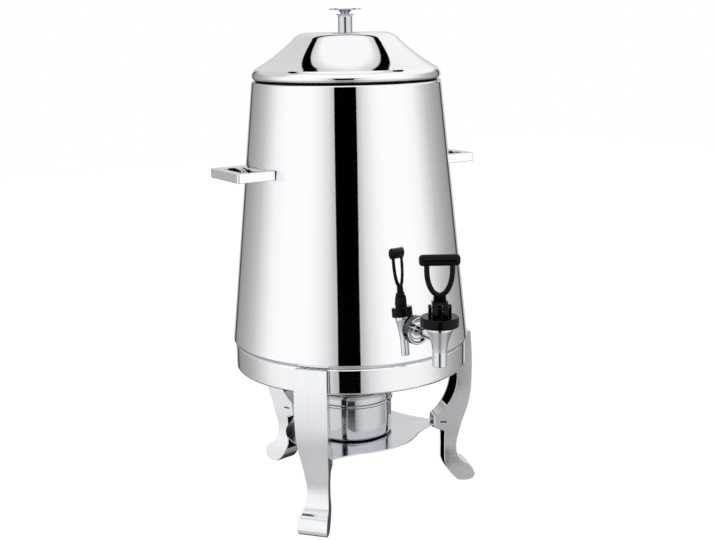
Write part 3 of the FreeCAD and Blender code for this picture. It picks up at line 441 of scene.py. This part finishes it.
def moulded(name, dark, pale, smooth, rough, gloss, peel=2600.0):
    """Moulded plastic or rubber with a fine orange peel."""
    made, tree, surface = new_finish(name, 0.0)
    surface.inputs["Specular IOR Level"].default_value = gloss
    place = place_on(tree)
    fine = streaks(tree, place, (peel, peel, peel), 2.0)
    broad = streaks(tree, place, moulded_clouds, 2.0)
    tree.links.new(colours(tree, broad, *gloss_spread, dark, pale), surface.inputs["Base Color"])
    tree.links.new(smooth_step(tree, broad, *gloss_spread, smooth, rough), surface.inputs["Roughness"])
    relief(tree, fine, surface, peel_depth, peel_sharp)
    print("moulded", made.name)
    return made


# %% [markdown]
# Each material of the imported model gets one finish. The tones are the metal's own: mirror steel
# gives back almost all light, the chrome of the tap and the drawn cup a little less. The tap's
# polishing lines run round its own upright axis, which the handle's joint gives.

# %% One finish for each material
tilt = joints["tap_handle_tilt"]
tap_reach = -tilt["pos_m"][1]
pin_level = tilt["pos_m"][2]
tap_turn = math.atan2(tilt["axis"][1], tilt["axis"][0])
tap_axis = (0, -tap_reach, 0)

finishes = {
    "polished_steel": spun_steel("polished_steel", (0.905, 0.912, 0.93), (0.92, 0.926, 0.942), 0.02, 0.045,
                                 lines=1500.0, sharp=0.006),
    "bright_steel": spun_steel("bright_steel", (0.80, 0.81, 0.835), (0.86, 0.87, 0.89), 0.06, 0.11),
    "satin_steel": ground_steel("satin_steel", (0.835, 0.85, 0.88), (0.90, 0.91, 0.935), 0.15, 0.20),
    "tap_chrome": spun_steel("tap_chrome", (0.73, 0.75, 0.78), (0.80, 0.81, 0.83), 0.03, 0.07, tap_axis,
                             2400.0),
    "black_plastic": moulded("black_plastic", (0.0012, 0.0013, 0.0016), (0.0026, 0.0027, 0.0031),
                             0.10, 0.18, 0.13),
    "soft_seal": moulded("soft_seal", (0.27, 0.27, 0.26), (0.33, 0.33, 0.32), 0.5, 0.65, 0.4, 1200.0),
    "fastener_steel": ground_steel("fastener_steel", (0.60, 0.61, 0.63), (0.74, 0.75, 0.77), 0.18, 0.32,
                                   (1500.0, 1500.0, 1500.0)),
}
cup_steel = spun_steel("drawn_cup_steel", (0.60, 0.62, 0.65), (0.70, 0.715, 0.74), 0.05, 0.10, sharp=0.01)
knob_steel = spun_steel("turned_knob_steel", (0.60, 0.62, 0.65), (0.72, 0.735, 0.76), 0.04, 0.09,
                        lines=1800.0)
shelf_steel = ground_steel("shelf_steel", (0.66, 0.675, 0.70), (0.73, 0.745, 0.77), 0.12, 0.18,
                           (9.0, 700.0, 700.0))
print("finishes", sorted(finishes))

# %% [markdown]
# In a crease and between two pieces that meet, shade falls and the steel reflects dark. The crease could be
# a gap in the mesh, but at this scale it is thinner than a pixel, so it is a dark line of painted shade and
# painted reflection in the finish, at a measured height or radius.

# %% Painted shade lines in creases
def darkened(finish, name, share_of):
    """Copy of a finish whose colour is multiplied by a share that a function makes in its tree."""
    made = finish.copy()
    made.name = name
    tree = made.node_tree
    surface = tree.nodes["Principled BSDF"]
    base = surface.inputs["Base Color"].links[0].from_socket
    product = node(tree, "ShaderNodeMix", data_type="RGBA", blend_type="MULTIPLY")
    product.inputs["Factor"].default_value = 1.0
    tree.links.new(base, product.inputs[6])
    tree.links.new(share_of(tree), product.inputs[7])
    tree.links.new(product.outputs[2], surface.inputs["Base Color"])
    return made


line_core = 0.55                   # share of a line's half width that is fully dark


def lined(finish, name, measure, lines, centre=(0, 0, 0)):
    """Copy of a finish with dark lines of painted shade. Each has the place of its middle, its half width
    and its share.

    The measure is the height, or the distance from an upright or from a level axis."""
    def share_of(tree):
        x, y, z = place_on(tree, centre)
        value = z if measure == "height" else radius_of(tree, x, y if measure == "upright" else z)
        share = 1.0
        for middle, half_width, dark in lines:
            off = math_node(tree, "ABSOLUTE", math_node(tree, "SUBTRACT", value, middle))
            share = math_node(tree, "MULTIPLY", share,
                              smooth_step(tree, off, line_core * half_width, half_width, dark, 1.0))
        return share

    return darkened(finish, name, share_of)


rim_level = (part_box("urn_shell")[1][2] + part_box("lid_shell")[0][2]) / 2
cup_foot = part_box("burner_cup")[0][2]
flange_level = sum(corner[2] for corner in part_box("tap_flange")) / 2
wall_at_handles = 0.1113           # outside radius of the body at the handles' level

# Painted shade: a dark line at the seam where the lid sits in the urn's rim.
rim_painted_shade_steel = lined(finishes["polished_steel"], "polished_steel_rim_painted_shade", "height", [(rim_level, 0.0012, 0.05)])
# Painted shade and painted reflection: a dark band where the cup's rounded foot meets the shelf.
foot_painted_shade_steel = lined(cup_steel, "cup_steel_foot_painted_shade", "height", [(cup_foot, 0.0016, 0.05)])
# Painted shade: a dark line on the handles where they meet the body's wall.
handle_painted_shade_steel = lined(finishes["polished_steel"], "handle_steel_wall_painted_shade", "upright",
                     [(wall_at_handles, 0.0011, 0.12)])
# Painted reflection and painted shade: dark rings on the tap's flange where the dark strip reflects and at
# its edges.
flange_chrome_painted_shade = lined(finishes["tap_chrome"], "flange_chrome_painted_shade", "level",
                      [(0.0146, 0.0007, 0.12), (0.0123, 0.0009, 0.10), (0.0092, 0.0008, 0.35)],
                      (0, 0, flange_level))
print("lines at", [round(1000 * v, 2) for v in (rim_level, cup_foot, flange_level)], "mm")

# %% [markdown]
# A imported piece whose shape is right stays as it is, and only its material slot changes. Most
# pieces take the finish of their material. A few take one of their own.

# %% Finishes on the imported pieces
special = {"burner_cup": foot_painted_shade_steel, "urn_shell": rim_painted_shade_steel, "lid_shell": rim_painted_shade_steel, "knob_cap": knob_steel,
           "knob_stem": knob_steel, "tap_flange": flange_chrome_painted_shade, "shelf_plate": shelf_steel,
           "valve_rod": finishes["black_plastic"]}
for part in frame["record"]["subparts"]:
    slots = frame["nodes"][part["node"]].data.materials
    slots.clear()
    slots.append(special.get(part["node"], finishes[part["material_slot"]]))

# %% [markdown]
# From here on, a few pieces are modelled again, where the photographed urn shows softer forms than
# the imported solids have. The helpers pick parts of a mesh by their place, the way a hand would pick
# them with the mouse, because an operator acts on everything that is selected.

# %% Helpers for modelling
def only(piece):
    """Leave one piece selected and active."""
    bpy.ops.object.select_all(action="DESELECT")
    piece.select_set(True)
    bpy.context.view_layer.objects.active = piece


def pick(kind, chosen):
    """In edit mode, select only the edges or faces that pass a test."""
    bpy.ops.mesh.select_mode(type=kind)
    bpy.ops.mesh.select_all(action="DESELECT")
    mesh = bmesh.from_edit_mesh(bpy.context.object.data)
    for item in mesh.edges if kind == "EDGE" else mesh.faces:
        if chosen(item):
            item.select_set(True)
    bmesh.update_edit_mesh(bpy.context.object.data)


def rim_at(value, axis):
    """Test for edges that lie at one distance from the middle, on either side."""
    return lambda edge: abs(abs(sum(vert.co[axis] for vert in edge.verts)) - 2 * value) < 1e-6


def settle(piece, *names, **settings):
    """Add modifiers one after another and apply them."""
    only(piece)
    for name in names:
        made = piece.modifiers.new(name.lower(), name)
        for key, value in settings.get(name.lower(), {}).items():
            setattr(made, key, value)
        bpy.ops.object.modifier_apply(modifier=made.name)


print("helpers", [helper.__name__ for helper in (only, pick, rim_at, settle)])

# %% [markdown]
# A piece that only needs softer edges starts as a copy of the imported one, whose mesh is loose triangles.
# They are joined into one skin first, and flat triangles are merged into faces, because a bevel needs real
# edges. Every piece that is modelled again ends the same way: smooth shading, its finish, the body that it
# moves with, and the imported pieces that it stands for are hidden.

# %% Copies of imported pieces and the last steps of a piece
same_point = 0.000002
same_plane = math.radians(0.03)
crease = math.radians(32)          # from this angle on, shading isn't smoothed across an edge
sharp_edge = math.radians(55)      # and from this one on, an edge is rounded


def solid_copy(node_name, new_name):
    """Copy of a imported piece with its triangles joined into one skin."""
    only(frame["nodes"][node_name])
    bpy.ops.object.duplicate()
    copy = bpy.context.object
    copy.name = new_name
    bpy.ops.object.parent_clear(type="CLEAR_KEEP_TRANSFORM")
    copy.rotation_mode = "XYZ"
    bpy.ops.object.mode_set(mode="EDIT")
    bpy.ops.mesh.select_all(action="SELECT")
    bpy.ops.mesh.remove_doubles(threshold=same_point)
    bpy.ops.mesh.dissolve_limited(angle_limit=same_plane)
    bpy.ops.object.mode_set(mode="OBJECT")
    return copy


def break_edges(piece, width, segments):
    """Round the sharp edges of a copy."""
    settle(piece, "BEVEL", bevel={"width": width, "segments": segments, "limit_method": "ANGLE",
                                  "angle_limit": sharp_edge, "use_clamp_overlap": False})


def dress(piece, finish, slot, body, *nodes):
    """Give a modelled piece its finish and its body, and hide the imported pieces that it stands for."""
    only(piece)
    bpy.ops.object.shade_smooth_by_angle(angle=crease)
    settle(piece, "WEIGHTED_NORMAL", weighted_normal={"keep_sharp": True, "weight": 100})
    piece.data.materials.clear()
    piece.data.materials.append(finish)
    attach(piece, body)
    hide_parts(*nodes)
    print(piece.name, len(piece.data.polygons), "faces")


# %% [markdown]
# The tap's handle is one moulding: a round grip bar, two slim side bars that curve in like the bowl
# of a wine glass, a short neck and a forked block that turns on the pin. It is modelled upright on
# the urn's axis and carried out to the tap at the end. The grip is a cylinder with its ends rounded.

# %% Grip bar
collar_top = pin_level - 0.0073
grip_level = collar_top + 0.057
grip_radius = 0.0058
grip_length = 0.041
grip_end = 0.0036                  # rounding of the ends

bpy.ops.object.select_all(action="DESELECT")
bpy.ops.mesh.primitive_cylinder_add(vertices=48, radius=grip_radius, depth=grip_length,
                                    rotation=(0, math.pi / 2, 0))
grip = bpy.context.object
grip.name = "tap_loop_handle"
bpy.ops.object.transform_apply(rotation=True)
bpy.ops.object.mode_set(mode="EDIT")
pick("EDGE", rim_at(grip_length / 2, 0))
bpy.ops.mesh.bevel(offset=grip_end, segments=6)
bpy.ops.mesh.select_all(action="SELECT")
bpy.ops.transform.translate(value=(0, 0, grip_level))
bpy.ops.object.mode_set(mode="OBJECT")
print("grip bar", [round(1000 * v, 1) for v in grip.dimensions], "mm")

# %% [markdown]
# The side bars could be made from a curve with a thickness. Here one is drawn out of an eight-sided
# slice, ring by ring, because each ring can then be turned to follow the curve. A mirror makes the
# other, and a subdivision surface makes both round, a little thinner than the slice.

# %% Side bars
bar_line = [(12.7, 56.0), (12.8, 50.0), (12.7, 44.5), (12.2, 39.0), (11.0, 33.6), (9.0, 28.6), (6.3, 24.5),
            (3.2, 22.2), (0.0, 21.5)]    # millimetres out from the middle and above the collar
bar_width = 0.0056
bar_depth = 0.0070
rounding_loss = 0.92               # share of the slice that is left after the subdivision


def bar_point(i):
    """Place of a ring's middle."""
    across, above = bar_line[i]
    return Vector((across / 1000, 0, collar_top + above / 1000))


def slope_at(i):
    """Direction of the bar at a ring, as an angle from straight down."""
    before = bar_line[max(i - 1, 0)]
    after = bar_line[min(i + 1, len(bar_line) - 1)]
    return math.atan2(before[0] - after[0], before[1] - after[1])


bpy.ops.object.select_all(action="DESELECT")
bpy.ops.mesh.primitive_circle_add(vertices=8, radius=0.5, fill_type="NGON")
side_bar = bpy.context.object
side_bar.scale = (bar_width / rounding_loss, bar_depth / rounding_loss, 1)
bpy.ops.object.transform_apply(scale=True)
bpy.ops.object.mode_set(mode="EDIT")
bpy.ops.mesh.select_all(action="SELECT")
bpy.ops.transform.translate(value=bar_point(0))
for i in range(1, len(bar_line)):
    step = bar_point(i) - bar_point(i - 1)
    bpy.ops.mesh.extrude_region_move(TRANSFORM_OT_translate={"value": step})
    bpy.ops.transform.rotate(value=slope_at(i - 1) - slope_at(i), orient_axis="Y",
                             center_override=bar_point(i))
bpy.ops.object.mode_set(mode="OBJECT")
settle(side_bar, "MIRROR", "SUBSURF", subsurf={"levels": 3, "render_levels": 3})
print("side bars", [round(1000 * v, 1) for v in side_bar.dimensions], "mm")

# %% [markdown]
# The neck joins the bars to the block. It is a cube with its top drawn in and all edges rounded.

# %% Neck
neck_size = (0.0138, 0.0072, 0.0096)
neck_middle = collar_top + 0.0178
neck_taper = (0.86, 0.94, 1)
neck_edge = 0.0013

bpy.ops.object.select_all(action="DESELECT")
bpy.ops.mesh.primitive_cube_add(size=1, location=(0, 0, neck_middle), scale=neck_size)
neck = bpy.context.object
bpy.ops.object.transform_apply(location=True, scale=True)
bpy.ops.object.mode_set(mode="EDIT")
pick("FACE", lambda face: face.normal.z > 0.9)
bpy.ops.transform.resize(value=neck_taper, center_override=(0, 0, neck_middle + neck_size[2] / 2))
bpy.ops.mesh.select_all(action="SELECT")
bpy.ops.mesh.bevel(offset=neck_edge, segments=4)
bpy.ops.object.mode_set(mode="OBJECT")
print("neck", [round(1000 * v, 1) for v in neck.dimensions], "mm")

# %% [markdown]
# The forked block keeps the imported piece's shape, because its curved foot has to roll on the collar
# and lift the rod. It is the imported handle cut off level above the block. The grip, the bars and
# the neck are turned and carried out to it, and all four are joined into one moulding.

# %% Forked block and the whole handle
block_top = collar_top + 0.0152

for piece in (grip, side_bar, neck):
    only(piece)
    piece.rotation_euler = (0, 0, tap_turn)
    piece.location = tap_axis
    bpy.ops.object.transform_apply(location=True, rotation=True)
block = solid_copy("tap_handle", "forked_block")
bpy.ops.object.mode_set(mode="EDIT")
bpy.ops.mesh.select_all(action="SELECT")
bpy.ops.mesh.bisect(plane_co=(0, 0, block_top), plane_no=(0, 0, 1), use_fill=True, clear_outer=True)
bpy.ops.object.mode_set(mode="OBJECT")
only(grip)
for piece in (side_bar, neck, block):
    piece.select_set(True)
bpy.ops.object.join()
dress(grip, finishes["black_plastic"], "black_plastic", "tap_lever", "tap_handle")

# %% [markdown]
# A leg is pressed from sheet, so every outside edge is a small bend and catches a thin line of light. Shade
# falls inside the channel, and the finish paints that shade in, darkening the colour where a point is closed
# in. How closed in each point is gets measured by looking round from it in many directions, and the finish
# reads that number. It could be painted by hand instead.

# %% Leg finish with painted shade inside the channel
looks = 28                         # directions, spread evenly over a ball
hollow_reach = 0.06
start_lift = 0.0002                # the look starts this far off the surface
grazing = 0.15                     # looks along the surface are left out
hollow_from, hollow_to = 0.30, 0.55
channel_shade_dark = 0.05


def look_directions():
    """Directions along a spiral from the top of a ball to its bottom."""
    golden = math.pi * (3 - math.sqrt(5))
    for i in range(looks):
        level = 1 - 2 * (i + 0.5) / looks
        flat = math.sqrt(1 - level * level)
        yield Vector((flat * math.cos(golden * i), flat * math.sin(golden * i), level))


def measure_hollows(piece):
    """Store at each point the share of directions that meet the same piece close by."""
    mesh = bmesh.new()
    mesh.from_mesh(piece.data)
    mesh.normal_update()
    skin = BVHTree.FromBMesh(mesh)
    ways = list(look_directions())
    marks = []
    for vert in mesh.verts:
        start = vert.co + vert.normal * start_lift
        open_ways = [way for way in ways if way.dot(vert.normal) > grazing]
        hits = sum(skin.ray_cast(start, way, hollow_reach)[0] is not None for way in open_ways)
        marks.append(hits / max(len(open_ways), 1))
    mesh.free()
    layer = piece.data.attributes.new("closed_in", "FLOAT", "POINT")
    layer.data.foreach_set("value", marks)
    print(piece.name, "most closed in", round(max(marks), 2))


def painted_channel_shade(tree):
    """Share of the colour that is left where the piece is closed in, as painted shade."""
    mark = node(tree, "ShaderNodeAttribute", attribute_name="closed_in")
    return smooth_step(tree, mark.outputs["Fac"], hollow_from, hollow_to, 1.0, channel_shade_dark)


leg_steel = darkened(finishes["satin_steel"], "satin_steel_channel_painted_shade", painted_channel_shade)
print("leg finish", leg_steel.name)

# %% [markdown]
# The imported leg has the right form, so a copy of it gets the bends from a Bevel modifier. The three
# legs are one pressing, so the first is copied and turned by a third of a turn each time.

# %% The three legs
leg_bend = 0.0006

pressed_leg = solid_copy("leg_front_left", "pressed_leg_front_left")
break_edges(pressed_leg, leg_bend, 3)
measure_hollows(pressed_leg)
legs = {"leg_front_left": pressed_leg}
for i, name in enumerate(("leg_front_right", "leg_back"), start=1):
    only(pressed_leg)
    bpy.ops.object.duplicate()
    copy = bpy.context.object
    copy.name = "pressed_" + name
    copy.rotation_euler = (0, 0, math.radians(120 * i))
    bpy.ops.object.transform_apply(rotation=True)
    legs[name] = copy
for name, piece in legs.items():
    dress(piece, leg_steel, "satin_steel", "stand", name)

# %% [markdown]
# The two carrying handles are bent from square bar and polished, so their long edges are softly
# broken and draw thin lines of light and dark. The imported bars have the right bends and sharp
# edges. Copies of them get the same Bevel modifier as the leg.

# %% Carrying handles
handle_edge = 0.0009

for side in ("left", "right"):
    bar = solid_copy("handle_" + side, "square_handle_" + side)
    break_edges(bar, handle_edge, 4)
    dress(bar, handle_painted_shade_steel, "polished_steel", "urn", "handle_" + side)

# %% [markdown]
# Inside the barrel an open coil presses the plug on its seat. When the handle is pulled, the rod rises and
# the coil shortens. Moving the coil with the rod would push it through the collar, so it stays on the urn.
# Here it is a copy of the imported spring, dressed like the other pieces and given a mesh of its own. It
# keeps its shape.

# %% Valve spring
coil = solid_copy("valve_spring", "valve_coil")
dress(coil, finishes["fastener_steel"], "fastener_steel", "urn", "valve_spring")
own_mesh(coil)

# %% [markdown]
# The Standard view shows a colour about as it is written, which suits a white studio.

bpy.context.scene.view_settings.view_transform = "Standard"
